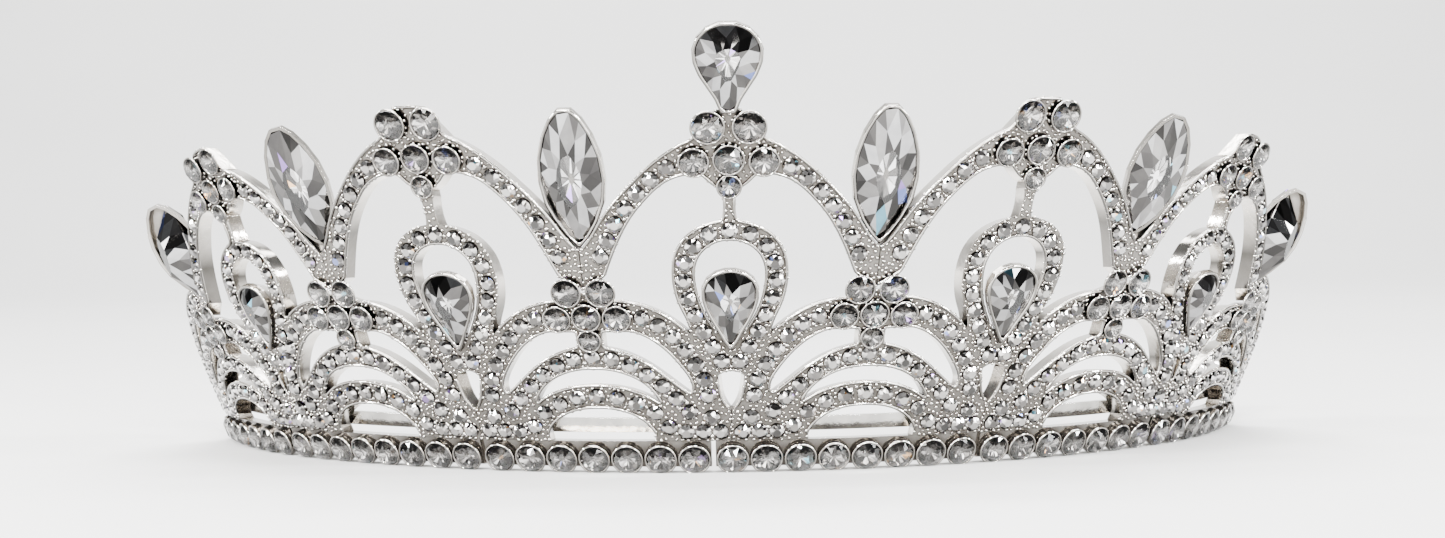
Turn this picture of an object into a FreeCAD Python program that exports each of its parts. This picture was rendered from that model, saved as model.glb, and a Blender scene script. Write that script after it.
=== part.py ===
import FreeCAD, Part
import math
import os
from FreeCAD import Matrix, Placement, Rotation, Vector

# Bridal tiara. Millimetres. +Z is up, the wearer faces -Y.
# The origin is the middle of the footprint, on the plane the base row stands on.
# Motif coordinates (m, h): m runs round the base row from the front centre,
# h is the height. Every ornament is drawn in them and laid on the leaning front.

doc = FreeCAD.newDocument("tiara")
sheet = doc.addObject("Spreadsheet::Sheet", "dims")

DIMENSIONS = [
    ("front_radius", 82.0),
    ("side_radius", 60.0),
    ("front_half_arc", 62.0),
    ("footprint_mid", 43.435),
    ("lean", 0.42),
    ("casting_depth", 2.0),
    ("period", 31.0),
    ("taper_start", 46.5),
    ("taper_width", 0.903),
    ("strip_height", 4.0),
    ("strip_foot", 0.7),
    ("base_pitch", 4.067),
    ("base_seam", 0.5),
    ("first_seam", -2.2),
    ("collet_height", 1.84),
    ("collet_radius", 1.97),
    ("collet_back", 1.86),
    ("collet_rise", 0.5),
    ("base_stone_radius", 1.72),
    ("clover_wall", 0.2),
    ("clover_rise", 0.45),
    ("pave_radius", 0.95),
    ("pave_pitch", 2.04),
    ("seat_clearance", 0.02),
    ("joint_gap", 0.05),
    ("band_bottom", 4.9),
    ("band_top", 6.7),
    ("band_depth", 1.0),
    ("band_half_length", 104.0),
    ("bezel_wall", 0.4),
    ("bezel_rise", 0.55),
    ("bezel_back", 1.5),
    ("marquise_sink", 1.3),
    ("eyelet_outer", 3.2),
    ("eyelet_bore", 1.5),
    ("eyelet_depth", 1.2),
    ("eyelet_neck", 2.4),
    ("eyelet_reach", 3.6),
]
for row, (alias, value) in enumerate(DIMENSIONS, start=1):
    sheet.set("A%d" % row, alias)
    sheet.set("B%d" % row, "%g" % value)
    sheet.setAlias("B%d" % row, alias)
doc.recompute()


def size(alias):
    return float(sheet.get(alias))


R_FRONT = size("front_radius")
R_SIDE = size("side_radius")
HALF_ARC = size("front_half_arc")
LEAN = size("lean")
DEPTH = size("casting_depth")
PERIOD = size("period")
STRIP_TOP = size("strip_height")
GAP = size("joint_gap")
CLEAR = size("seat_clearance")
PAVE = size("pave_radius")
PITCH = size("pave_pitch")

TURN = HALF_ARC / R_FRONT
SIDE_X = (R_FRONT - R_SIDE) * math.sin(TURN)
MID_Y = size("footprint_mid")
FRONT_Y = MID_Y + (R_FRONT - R_SIDE) * math.cos(TURN)
TILT = math.atan(LEAN)
SLANT = 1.0 / math.cos(TILT)
LAST_ANGLE = TURN + (size("band_half_length") - HALF_ARC) / R_SIDE

# Height scale of the ornaments against the distance from the front centre.
TAPER = [(0.0, 1.0), (46.5, 1.0), (60.5, 0.94), (74.5, 0.80), (90.0, 0.62), (120.0, 0.5)]


def taper(s):
    a = abs(s)
    for (s0, k0), (s1, k1) in zip(TAPER, TAPER[1:]):
        if a <= s1:
            return k0 + (k1 - k0) * (a - s0) / (s1 - s0)
    return TAPER[-1][1]


def laid(m, h):
    """Arc length and height of a motif point once the end taper is applied."""
    start = size("taper_start")
    a = abs(m)
    if a > start:
        a = start + (a - start) * size("taper_width")
    s = math.copysign(a, m)
    if h > STRIP_TOP:
        h = STRIP_TOP + (h - STRIP_TOP) * taper(s)
    return s, h


def heading(s):
    """Angle of the outward direction at arc length s, and its arc's centre and radius."""
    side = 1.0 if s >= 0 else -1.0
    a = abs(s)
    if a <= HALF_ARC:
        return side * a / R_FRONT, Vector(0, FRONT_Y, 0), R_FRONT
    angle = TURN + (a - HALF_ARC) / R_SIDE
    return side * angle, Vector(side * SIDE_X, MID_Y, 0), R_SIDE


def outward(angle):
    return Vector(math.sin(angle), -math.cos(angle), 0)


def along(angle):
    return Vector(math.cos(angle), math.sin(angle), 0)


def skin(s, h, t=0.0):
    """Point of the leaning front surface, t outwards from it."""
    angle, centre, radius = heading(s)
    return centre + outward(angle) * (radius + LEAN * h + t) + Vector(0, 0, h)


def skin_frame(s, h):
    """Placement whose X runs round the tiara, Y up the lean and Z out of the skin."""
    angle, centre, radius = heading(s)
    x_axis = along(angle)
    y_axis = (outward(angle) * LEAN + Vector(0, 0, 1)).normalize()
    z_axis = x_axis.cross(y_axis)
    o = skin(s, h)
    matrix = Matrix(x_axis.x, y_axis.x, z_axis.x, o.x,
                    x_axis.y, y_axis.y, z_axis.y, o.y,
                    x_axis.z, y_axis.z, z_axis.z, o.z,
                    0, 0, 0, 1)
    return Placement(matrix)


def lifted(frame, rise):
    return frame.multiply(Placement(Vector(0, 0, rise), Rotation()))


def sector(radius, centre, from_deg, to_deg, inner, outer, low, high):
    """Leaning ring sector between two offsets from the skin and two heights."""
    profile = []
    for offset, h in ((inner, low), (inner, high), (outer, high), (outer, low)):
        profile.append(Vector(0, -(radius + LEAN * h + offset), h))
    profile.append(profile[0])
    face = Part.Face(Part.makePolygon(profile))
    solid = face.revolve(Vector(0, 0, 0), Vector(0, 0, 1), to_deg - from_deg)
    solid.rotate(Vector(0, 0, 0), Vector(0, 0, 1), from_deg)
    solid.translate(centre)
    return solid


def ring(inner, outer, low, high, s_from, s_to):
    """Leaning strip following the plan of the tiara from s_from to s_to."""
    parts = []
    bounds = [(-200.0, -HALF_ARC), (-HALF_ARC, HALF_ARC), (HALF_ARC, 200.0)]
    for lower, upper in bounds:
        a = max(lower, s_from)
        b = min(upper, s_to)
        if b - a < 1e-6:
            continue
        _, centre, radius = heading((a + b) / 2)
        first = math.degrees(heading(a)[0])
        last = math.degrees(heading(b)[0])
        if abs(a) < HALF_ARC + 1e-9 and radius == R_SIDE:
            first = math.degrees(math.copysign(TURN, a))
        if abs(b) < HALF_ARC + 1e-9 and radius == R_SIDE:
            last = math.degrees(math.copysign(TURN, b))
        parts.append(sector(radius, centre, first, last, inner, outer, low, high))
    solid = parts[0]
    for more in parts[1:]:
        solid = solid.fuse(more)
    return solid


def mirrored(points):
    return [(-m, h) for m, h in points]


def loop_of(half):
    """Close a right-hand half outline with its mirror image.

    half is a list of runs from the top or bottom axis point round to the other one.
    """
    left = [list(reversed(mirrored(run))) for run in reversed(half)]
    return half + left


def edge_run(points):
    if len(points) == 2:
        return Part.LineSegment(points[0], points[1]).toShape()
    curve = Part.BSplineCurve()
    curve.interpolate(points)
    return curve.toShape()


def flat_face(runs):
    """Face in the motif plane, used to find where stones fit."""
    edges = []
    for run in runs:
        edges.append(edge_run([Vector(m, h, 0) for m, h in run]))
    return Part.Face(Part.Wire(edges))


def laid_prism(runs, m0):
    """Outline laid at motif position m0 and driven straight through the casting."""
    s0, _ = laid(m0, 0)
    angle, centre, radius = heading(s0)
    foot = skin(s0, 0)
    edges = []
    for run in runs:
        points = []
        for m, h in run:
            s, z = laid(m0 + m, h)
            across = (skin(s, z) - foot).dot(along(angle))
            points.append(foot + along(angle) * across + Vector(0, 0, z))
        edges.append(edge_run(points))
    face = Part.Face(Part.Wire(edges))
    face.translate(outward(angle) * -25)
    return face.extrude(outward(angle) * 60)


# Outlines, right-hand halves, in motif coordinates about each ornament's centre.
EDGE = PERIOD / 2 - GAP
HILL = [
    [(0.0, STRIP_TOP), (EDGE, STRIP_TOP)],
    [(EDGE, STRIP_TOP), (EDGE, 7.9)],
    [(EDGE, 7.9), (14.7, 8.9), (14.2, 10.5), (14.05, 12.2)],
    [(14.05, 12.2), (12.8, 14.5), (11.6, 16.6), (10.2, 18.2), (8.0, 19.9), (5.5, 21.0), (2.6, 21.4)],
    [(2.6, 21.4), (0.0, 22.3)],
]
HILL_LENS = [
    [(0.0, STRIP_TOP - 1.0), (6.3, STRIP_TOP - 1.0)],
    [(6.3, STRIP_TOP - 1.0), (6.5, 4.9)],
    [(6.5, 4.9), (5.2, 6.6), (3.0, 7.75), (0.0, 8.15)],
]
HILL_CRESCENT = [
    [(0.0, 11.1), (3.2, 10.75), (5.6, 9.9), (7.4, 8.7)],
    [(7.4, 8.7), (6.2, 10.7), (3.6, 12.4), (0.0, 13.0)],
]
HILL_WING = [
    [(1.45, 15.75), (3.5, 15.2), (6.0, 13.9), (8.5, 11.9), (10.9, 9.9)],
    [(10.9, 9.9), (11.1, 10.8), (10.2, 12.9), (8.6, 15.0), (6.8, 16.6), (4.6, 17.6)],
    [(4.6, 17.6), (1.45, 17.6)],
    [(1.45, 17.6), (1.45, 15.75)],
]
LOOP = [
    [(0.0, 12.75), (0.8, 12.55), (1.45, 12.1)],
    [(1.45, 12.1), (2.7, 14.0), (4.1, 16.0), (4.55, 18.4), (5.4, 20.6), (5.95, 23.0), (6.0, 24.6),
     (5.6, 26.9), (4.4, 28.8), (2.6, 30.0), (0.75, 30.5)],
    [(0.75, 30.5), (0.6, 31.6), (0.75, 33.8)],
    [(0.75, 33.8), (0.75, 35.2)],
    [(0.75, 35.2), (0.0, 35.2)],
]
LOOP_HOLE = [
    [(0.0, 16.3), (0.9, 16.8), (1.9, 18.2), (2.9, 20.2), (3.5, 22.5), (3.65, 24.4), (3.2, 26.3),
     (1.9, 27.7), (0.0, 28.2)],
]
CREST = [
    [(0.0, 33.6), (1.2, 34.2), (2.6, 35.6)],
    [(2.6, 35.6), (4.5, 35.6), (6.3, 34.8), (8.0, 33.2), (9.6, 31.2), (11.0, 28.8), (12.1, 26.4),
     (13.0, 24.2)],
    [(13.0, 24.2), (EDGE, 22.6)],
    [(EDGE, 22.6), (EDGE, 27.2)],
    [(EDGE, 27.2), (14.4, 28.4), (13.15, 30.4), (11.8, 32.3), (10.0, 34.4), (8.0, 36.5), (6.0, 38.2),
     (3.6, 39.6)],
    [(3.6, 39.6), (1.2, 42.8)],
    [(1.2, 42.8), (0.0, 42.8)],
]
SIDE_RISE_FROM = 26.0
SIDE_RISE = 1.08


def risen(points):
    """Points of the centre crest stretched upwards for the taller crests beside it."""
    found = []
    for point in points:
        h = SIDE_RISE_FROM + (point[1] - SIDE_RISE_FROM) * SIDE_RISE
        found.append((point[0], max(point[1], h)) + tuple(point[2:]))
    return found


CREST_SIDE = [risen(run) for run in CREST]
SCROLL = [
    [(GAP, 23.0), (3.5, 24.2), (8.0, 22.5), (12.0, 18.3), (14.5, 13.0), (15.6, 8.3), (15.6, STRIP_TOP)],
    [(15.6, STRIP_TOP), (18.5, STRIP_TOP)],
    [(18.5, STRIP_TOP), (17.7, 11.5), (15.2, 18.6), (11.0, 24.1), (5.6, 27.3), (GAP, 27.6)],
    [(GAP, 27.6), (GAP, 23.0)],
]
# Clovers of six larger stones: position and stone radius.
HILL_CLOVER = [(-1.85, 22.4, 1.6), (1.85, 22.4, 1.6), (-3.3, 19.25, 1.5), (0.0, 19.4, 1.55),
               (3.3, 19.25, 1.5), (0.0, 16.6, 1.25)]
CREST_CLOVER = [(-1.95, 41.0, 1.75), (1.95, 41.0, 1.75), (-3.35, 37.15, 1.55), (0.0, 37.4, 1.6),
                (3.35, 37.15, 1.55), (0.0, 34.4, 1.25)]
SIDE_CLOVER = risen(CREST_CLOVER)

HILL_ROWS = [
    [(5.9, 19.15), (7.2, 18.6), (8.9, 17.2), (10.3, 15.5), (11.5, 13.6), (12.5, 11.6), (12.9, 9.6)],
    [(0.0, 14.45), (2.0, 14.25), (4.0, 13.55), (7.0, 11.5), (9.2, 9.3), (10.7, 7.6)],
    [(0.0, 9.6), (2.0, 9.45), (4.0, 8.95), (6.5, 7.6), (8.2, 5.7)],
]
LOOP_ROWS = [
    [(0.0, 29.3), (2.1, 28.85), (3.8, 27.4), (4.7, 25.4), (4.85, 23.4), (4.45, 21.4), (3.7, 19.3),
     (2.9, 17.4)],
]
CREST_ROWS = [
    [(5.95, 36.45), (6.8, 35.9), (8.4, 34.4), (9.9, 32.6), (11.3, 30.5), (12.4, 28.4), (13.3, 26.4)],
]
SCROLL_ROW = [(2.2, 25.8), (5.0, 25.4), (9.2, 23.4), (13.3, 18.7), (16.0, 12.2), (17.05, 5.6)]


def spaced(points, pitch):
    """Even positions along a polyline, both ends kept."""
    lengths = [0.0]
    for (m0, h0), (m1, h1) in zip(points, points[1:]):
        lengths.append(lengths[-1] + math.hypot(m1 - m0, h1 - h0))
    steps = max(1, int(lengths[-1] / pitch + 0.15))
    found = []
    for i in range(steps + 1):
        want = lengths[-1] * i / steps
        k = 0
        while k < len(points) - 2 and lengths[k + 1] < want:
            k += 1
        f = (want - lengths[k]) / (lengths[k + 1] - lengths[k])
        (m0, h0), (m1, h1) = points[k], points[k + 1]
        found.append((m0 + (m1 - m0) * f, h0 + (h1 - h0) * f))
    return found


def both_sides(points):
    found = list(points)
    for m, h in points:
        if m > 1e-6:
            found.append((-m, h))
    return found


def fill(face, taken, radius, low, high, wide, edge_margin):
    """Extra stone positions packed into what is left of a face, right-hand half."""
    found = []
    outline = Part.Compound(face.Edges)
    step = 0.2
    rows = int((high - low) / step)
    columns = int(wide / step)
    for j in range(rows + 1):
        for i in range(columns + 1):
            spot = Vector(i * step, low + j * step, 0)
            clash = False
            for m, h, r in taken + found:
                if math.hypot(m - spot.x, h - spot.y) < r + radius + 0.08:
                    clash = True
                    break
                if spot.x > 1e-6 and math.hypot(-m - spot.x, h - spot.y) < r + radius + 0.08:
                    clash = True
                    break
            if clash or 1e-6 < spot.x < radius + 0.04:
                continue
            if not face.isInside(spot, 1e-4, True):
                continue
            if Part.Vertex(spot).distToShape(outline)[0] < radius + edge_margin:
                continue
            found.append((spot.x, spot.y, radius))
    return [(m, h) for m, h, r in found]


def round_stone(radius, seat):
    """Brilliant in outline: flat back, pavilion cone, girdle, crown cone and table."""
    crown = radius * 0.42
    profile = [
        Vector(0, 0, -seat),
        Vector(radius * 0.72, 0, -seat),
        Vector(radius, 0, -seat * 0.25),
        Vector(radius, 0, 0.0),
        Vector(radius * 0.60, 0, crown),
        Vector(0, 0, crown),
    ]
    profile.append(profile[0])
    face = Part.Face(Part.makePolygon(profile))
    return face.revolve(Vector(0, 0, 0), Vector(0, 0, 1), 360)


def on_skin(shape, m, h, lift=0.0):
    s, z = laid(m, h)
    moved = shape.copy()
    moved.Placement = lifted(skin_frame(s, z), lift)
    return moved


def drum(radius, bottom, top):
    solid = Part.makeCylinder(radius, top - bottom)
    solid.translate(Vector(0, 0, bottom))
    return solid


def largest(shape):
    return max(shape.Solids, key=lambda s: s.Volume)


SHELL_HIGH = 48.0
shell = ring(-DEPTH, 0.0, STRIP_TOP, SHELL_HIGH, -100.0, 100.0)

PAVE_SEAT = 0.34
CLOVER_SEAT = 0.5
BASE_SEAT = 0.6
base_stone = round_stone(size("base_stone_radius"), BASE_SEAT)


def casting(m0, outer, holes, clover, pave, pave_radius, stone_scale, cut_by):
    """Casting solid with its collets and stone seats cut, cut back to its neighbours."""
    solid = laid_prism(outer, m0).common(shell)
    for hole in holes:
        solid = solid.cut(laid_prism(hole, m0))
    cups = []
    for m, h, radius in clover:
        cup = drum((radius + size("clover_wall")) * stone_scale, -DEPTH + 0.35, size("clover_rise"))
        cups.append(on_skin(cup, m0 + m, h))
    if cups:
        solid = solid.fuse(cups)
    if cut_by:
        solid = solid.cut(cut_by)
    seats = []
    for m, h in pave:
        seats.append(on_skin(drum(pave_radius + CLEAR, -PAVE_SEAT, 1.0), m0 + m, h))
    floor = size("clover_rise") - CLOVER_SEAT
    for m, h, radius in clover:
        seats.append(on_skin(drum(radius * stone_scale + CLEAR, floor, 2.0), m0 + m, h))
    if seats:
        solid = solid.cut(seats)
    return largest(solid)


def stones_on(stone, m0, spots):
    return [on_skin(stone, m0 + m, h) for m, h in spots]


hill_holes = [loop_of(HILL_LENS), loop_of(HILL_CRESCENT), HILL_WING, [mirrored(run) for run in HILL_WING]]
hill_flat = flat_face(loop_of(HILL))
for hole in hill_holes:
    hill_flat = hill_flat.cut(flat_face(hole))
loop_flat = flat_face(loop_of(LOOP)).cut(flat_face(loop_of(LOOP_HOLE)))
for shift in (-PERIOD / 2, PERIOD / 2):
    beside = flat_face(loop_of(HILL))
    beside.translate(Vector(shift, 0, 0))
    loop_flat = loop_flat.cut(beside)
crest_flat = flat_face(loop_of(CREST))


def pave_spots(face, rows, clover, low, high, wide):
    right = []
    for row in rows:
        right += spaced(row, PITCH)
    taken = [(m, h, PAVE) for m, h in right]
    taken += [(m, h, radius + size("clover_wall") - 0.05) for m, h, radius in clover]
    right += fill(face, taken, PAVE, low, high, wide, 0.12)
    return both_sides(right)


hill_pave = pave_spots(hill_flat, HILL_ROWS, HILL_CLOVER, 4.9, 22.0, 15.4)
loop_pave = pave_spots(loop_flat, LOOP_ROWS, [], 13.0, 20.0, 5.0)
crest_pave = pave_spots(crest_flat, CREST_ROWS, CREST_CLOVER, 24.8, 28.5, 15.4)
crest_side_pave = risen(crest_pave)
scroll_pave = spaced(SCROLL_ROW, PITCH)
print("pave per hill and loop:", len(hill_pave), len(loop_pave))
print("pave per crest and scroll:", len(crest_pave), len(scroll_pave))

features = {}


def add_part(label, shape, placement=None):
    item = doc.addObject("Part::Feature", label)
    item.Label = label
    item.Shape = shape
    if placement is not None:
        item.Placement = placement
    features[label] = item
    return item


def turned(m0):
    """Placement that carries a front ornament round the front arc to position m0."""
    angle = math.degrees(m0 / R_FRONT)
    return Placement(Vector(0, 0, 0), Rotation(Vector(0, 0, 1), angle), Vector(0, FRONT_Y, 0))


def carried(shape, m0):
    moved = shape.copy()
    moved.rotate(Vector(0, FRONT_Y, 0), Vector(0, 0, 1), math.degrees(m0 / R_FRONT))
    return moved


def flipped(shape):
    return shape.mirror(Vector(0, 0, 0), Vector(1, 0, 0))


END_SCALE = 0.87
END_PAVE = PAVE * END_SCALE
hill_outer = loop_of(HILL)
loop_outer = loop_of(LOOP)
crest_outer = loop_of(CREST)
loop_hole = [loop_of(LOOP_HOLE)]
HALF = PERIOD / 2

hill = casting(0.0, hill_outer, hill_holes, HILL_CLOVER, hill_pave, PAVE, 1.0, [])
hill_r = carried(hill, HALF)
hill_l = carried(hill, -HALF)
loop = casting(0.0, loop_outer, loop_hole, [], loop_pave, PAVE, 1.0, [hill_r, hill_l])
crest_blank = casting(0.0, crest_outer, [], CREST_CLOVER, [], PAVE, 1.0, [hill_r, hill_l])
loop = largest(loop.cut(crest_blank))
crest = casting(0.0, crest_outer, [], CREST_CLOVER, crest_pave, PAVE, 1.0, [hill_r, hill_l])
side_outer = loop_of(CREST_SIDE)
side_blank = casting(0.0, side_outer, [], SIDE_CLOVER, [], PAVE, 1.0, [hill_r, hill_l])
side_crest = casting(0.0, side_outer, [], SIDE_CLOVER, crest_side_pave, PAVE, 1.0, [hill_r, hill_l])
side_loop = casting(0.0, loop_outer, loop_hole, [], loop_pave, PAVE, 1.0, [hill_r, hill_l, side_blank])

HILL_3 = 2.5 * PERIOD
LOOP_2 = 2.0 * PERIOD
hill_end = casting(HILL_3, hill_outer, hill_holes, HILL_CLOVER, hill_pave, END_PAVE, END_SCALE, [])
beside = [carried(hill, 1.5 * PERIOD), hill_end]
loop_end = casting(LOOP_2, loop_outer, loop_hole, [], loop_pave, END_PAVE, END_SCALE, beside)
crest_blank_end = casting(LOOP_2, crest_outer, [], CREST_CLOVER, [], PAVE, END_SCALE, beside)
loop_end = largest(loop_end.cut(crest_blank_end))
crest_end = casting(LOOP_2, crest_outer, [], CREST_CLOVER, crest_pave, END_PAVE, END_SCALE, beside)
scroll = casting(HILL_3, SCROLL, [], [], scroll_pave, END_PAVE, 1.0, [hill_end])

SIDES = (("right", 1.0), ("left", -1.0))
for side, sign in SIDES:
    add_part("hill_panel_%s_1" % side, hill, turned(sign * HALF))
    add_part("hill_panel_%s_2" % side, hill, turned(sign * 3 * HALF))
    add_part("loop_%s_1" % side, side_loop, turned(sign * PERIOD))
    add_part("crest_%s_1" % side, side_crest, turned(sign * PERIOD))
add_part("loop_centre", loop)
add_part("crest_centre", crest)
for name, shape in (("hill_panel_%s_3", hill_end), ("loop_%s_2", loop_end),
                    ("crest_%s_2", crest_end), ("end_scroll_%s", scroll)):
    add_part(name % "right", shape)
    add_part(name % "left", flipped(shape))

# Small round stones, grouped by size and place.
pave_stone = round_stone(PAVE, PAVE_SEAT)
end_stone = round_stone(END_PAVE, PAVE_SEAT)
CLOVER_LIFT = size("clover_rise")


def repeated(once, centres):
    return [carried(item, m0) for m0 in centres for item in once]


def paired(right):
    return right + [flipped(item) for item in right]


def front_group(stone, spots, centres):
    return repeated(stones_on(stone, 0.0, spots), centres)


def end_group(stone, spots, m0):
    return paired(stones_on(stone, m0, spots))


def clover_stones(clover, m0, scale):
    found = []
    for m, h, radius in clover:
        found.append(on_skin(round_stone(radius * scale, CLOVER_SEAT), m0 + m, h, CLOVER_LIFT))
    return found


HILLS = [-3 * HALF, -HALF, HALF, 3 * HALF]
LOOPS = [-PERIOD, 0.0, PERIOD]
hill_stones = front_group(pave_stone, hill_pave, HILLS) + end_group(end_stone, hill_pave, HILL_3)
loop_stones = front_group(pave_stone, loop_pave, LOOPS) + end_group(end_stone, loop_pave, LOOP_2)
crest_stones = front_group(pave_stone, crest_pave, [0.0]) + end_group(end_stone, crest_pave, LOOP_2)
crest_stones += front_group(pave_stone, crest_side_pave, [-PERIOD, PERIOD])
scroll_stones = end_group(end_stone, scroll_pave, HILL_3)
hill_clovers = repeated(clover_stones(HILL_CLOVER, 0.0, 1.0), HILLS)
hill_clovers += paired(clover_stones(HILL_CLOVER, HILL_3, END_SCALE))
crest_clovers = repeated(clover_stones(CREST_CLOVER, 0.0, 1.0), [0.0])
crest_clovers += repeated(clover_stones(SIDE_CLOVER, 0.0, 1.0), [-PERIOD, PERIOD])
crest_clovers += paired(clover_stones(CREST_CLOVER, LOOP_2, END_SCALE))
add_part("hill_pave_stones", Part.Compound(hill_stones))
add_part("loop_pave_stones", Part.Compound(loop_stones))
add_part("crest_pave_stones", Part.Compound(crest_stones))
add_part("scroll_pave_stones", Part.Compound(scroll_stones))
add_part("hill_clover_stones", Part.Compound(hill_clovers))
add_part("crest_clover_stones", Part.Compound(crest_clovers))

# Base row: strips of collets, seven or eight stones long, butted at narrow seams.
STRIP_COUNTS = {"right": (8, 7, 8), "left": (7, 8, 7)}
BASE_PITCH = size("base_pitch")
SEAM = size("base_seam")
COLLET_H = size("collet_height")
COLLET_LIFT = size("collet_rise")
CUP_DEPTH = DEPTH - 0.3
ground = Part.makeBox(400, 400, 20, Vector(-200, -200, 0))
above = ring(-DEPTH - 1.0, 0.0, STRIP_TOP, STRIP_TOP + 3.0, -110.0, 110.0)
base_stones = []
for side, sign in SIDES:
    edge = size("first_seam")
    for number, count in enumerate(STRIP_COUNTS[side], start=1):
        near = edge + sign * SEAM / 2
        far = near + sign * count * BASE_PITCH
        strip = ring(-DEPTH, 0.0, size("strip_foot"), STRIP_TOP, min(near, far), max(near, far))
        spots = [near + sign * (i + 0.5) * BASE_PITCH for i in range(count)]
        cups = []
        seats = []
        for s in spots:
            cup = Part.makeCone(size("collet_back"), size("collet_radius"), CUP_DEPTH + COLLET_LIFT)
            cup.Placement = lifted(skin_frame(s, COLLET_H), -CUP_DEPTH)
            cups.append(cup)
            seat = drum(size("base_stone_radius") + CLEAR, COLLET_LIFT - BASE_SEAT, 2.0)
            seat.Placement = skin_frame(s, COLLET_H)
            seats.append(seat)
            stone = base_stone.copy()
            stone.Placement = lifted(skin_frame(s, COLLET_H), COLLET_LIFT)
            base_stones.append(stone)
        strip = strip.fuse(cups).cut(above).common(ground).cut(seats)
        add_part("base_strip_%s_%d" % (side, number), largest(strip))
        edge = far + sign * SEAM / 2
add_part("base_stones", Part.Compound(base_stones))

# Inner reinforcing band behind every casting.
reach = size("band_half_length")
band = ring(-DEPTH - size("band_depth"), -DEPTH, size("band_bottom"), size("band_top"), -reach, reach)
add_part("inner_band", band)


def outline_points(profile, scale_u, scale_v):
    """Closed ring of points from a half-width profile given from tip to top."""
    right = [Vector(u * scale_u, v * scale_v, 0) for v, u in profile]
    left = [Vector(-u * scale_u, v * scale_v, 0) for v, u in reversed(profile) if u > 1e-6]
    return right + left


def scaled(points, k, shift_v, z):
    return [Vector(p.x * k, (p.y - shift_v) * k + shift_v, z) for p in points]


def closed(points):
    return Part.makePolygon(points + [points[0]])


def cut_stone(points, shift_v, seat, crown):
    """Faceted fancy stone: flat back, pavilion, girdle, stepped crown and table."""
    levels = [(0.80, -seat), (1.0, -seat * 0.3), (1.0, 0.0), (0.80, crown * 0.6), (0.52, crown)]
    solid = None
    for (k0, z0), (k1, z1) in zip(levels, levels[1:]):
        lower = closed(scaled(points, k0, shift_v, z0))
        upper = closed(scaled(points, k1, shift_v, z1))
        layer = Part.makeLoft([lower, upper], True, True)
        solid = layer if solid is None else solid.fuse(layer)
    return solid.removeSplitter()


def grown(points, wall):
    """Outline pushed outwards by the bezel wall."""
    count = len(points)
    moved = []
    for i in range(count):
        before = points[i - 1]
        after = points[(i + 1) % count]
        here = points[i]
        d0 = (here - before).normalize()
        d1 = (after - here).normalize()
        n = Vector(d0.y + d1.y, -d0.x - d1.x, 0).normalize()
        stretch = 1.0 / max(0.45, n.dot(Vector(d0.y, -d0.x, 0)))
        moved.append(here + n * wall * stretch)
    return moved


def bezel(points, back, rise, seat):
    """Cup that narrows to the back, with a pocket for the stone."""
    rim = grown(points, size("bezel_wall"))
    shoulder = -0.15
    narrow = closed(scaled(rim, 0.8, 0.0, -back))
    wide = closed(scaled(rim, 1.0, 0.0, shoulder))
    flare = Part.makeLoft([narrow, wide], True, True)
    wall = Part.Face(closed(scaled(rim, 1.0, 0.0, shoulder))).extrude(Vector(0, 0, rise - shoulder))
    pocket = Part.Face(closed(grown(points, CLEAR))).extrude(Vector(0, 0, 5))
    pocket.translate(Vector(0, 0, rise - seat))
    return flare.fuse(wall).cut(pocket)


# Half-width profiles (height from the setting's origin, half width), tip to top.
PEAR = [(-4.5, 0.0), (-3.8, 0.5), (-2.6, 1.15), (-1.3, 1.95), (0.0, 2.6), (1.2, 2.95), (2.3, 2.95),
        (3.2, 2.5), (3.85, 1.6), (4.15, 0.55)]
MARQUISE = [(-6.9, 0.0), (-5.9, 1.0), (-4.4, 2.05), (-2.4, 3.0), (0.0, 3.4), (2.4, 3.2), (4.6, 2.5),
            (6.3, 1.55), (7.2, 0.6)]
TOP_PEAR = [(-4.6, 0.6), (-3.3, 1.15), (-2.0, 2.05), (-0.7, 2.95), (0.6, 3.5), (1.8, 3.6), (2.9, 3.15),
            (3.8, 2.2), (4.3, 0.9)]
FANCY_SEAT = 0.8
RISE = size("bezel_rise")
SINK = size("marquise_sink")


def setting(profile, s, h, crown, k, sink, cut_by, turn=0.0, roll=0.0):
    """Bezel and stone; turn and roll pivot them about the setting's lowest point."""
    points = outline_points(profile, k, SLANT * k)
    foot = Vector(0, profile[0][0] * SLANT * k, 0)
    pivot = Placement(foot, Rotation(Vector(0, 1, 0), turn).multiply(Rotation(Vector(0, 0, 1), roll)))
    frame = lifted(skin_frame(s, h), -sink).multiply(pivot).multiply(Placement(-foot, Rotation()))
    cup = bezel(points, size("bezel_back"), RISE, FANCY_SEAT)
    stone = cut_stone(points, 0.0, FANCY_SEAT, crown)
    cup.Placement = frame
    stone.Placement = lifted(frame, RISE)
    for other in cut_by:
        cup = largest(cup.cut(other))
    return cup, stone


drop_cup, drop_stone = setting(PEAR, 0.0, 20.45, 1.1, 1.0, 0.0, [loop])
s_end, h_end = laid(LOOP_2, 20.45)
drop_cup_end, drop_stone_end = setting(PEAR, s_end, h_end, 1.0, 0.87, 0.0, [loop_end])
crest_left = carried(crest, -HALF)
crest_side = carried(side_crest, PERIOD)
crest_next = carried(side_crest, HALF)
marq_cup, marq_stone = setting(MARQUISE, 0.0, 35.0, 1.2, 1.05, SINK, [crest_next, crest_left])
marq_cup_side, marq_stone_side = setting(
    MARQUISE, 1.5 * PERIOD, 34.95, 1.1, 0.98, SINK, [crest_side, crest_end], -20.0, -6.0)
s_end, h_end = laid(HILL_3, 33.2)
marq_cup_end, marq_stone_end = setting(
    MARQUISE, s_end, h_end, 1.05, 0.88, SINK, [crest_end, scroll], -46.0, -9.0)
top_cup, top_stone = setting(TOP_PEAR, 0.0, 47.5, 1.2, 1.0, 0.0, [crest])

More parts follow.
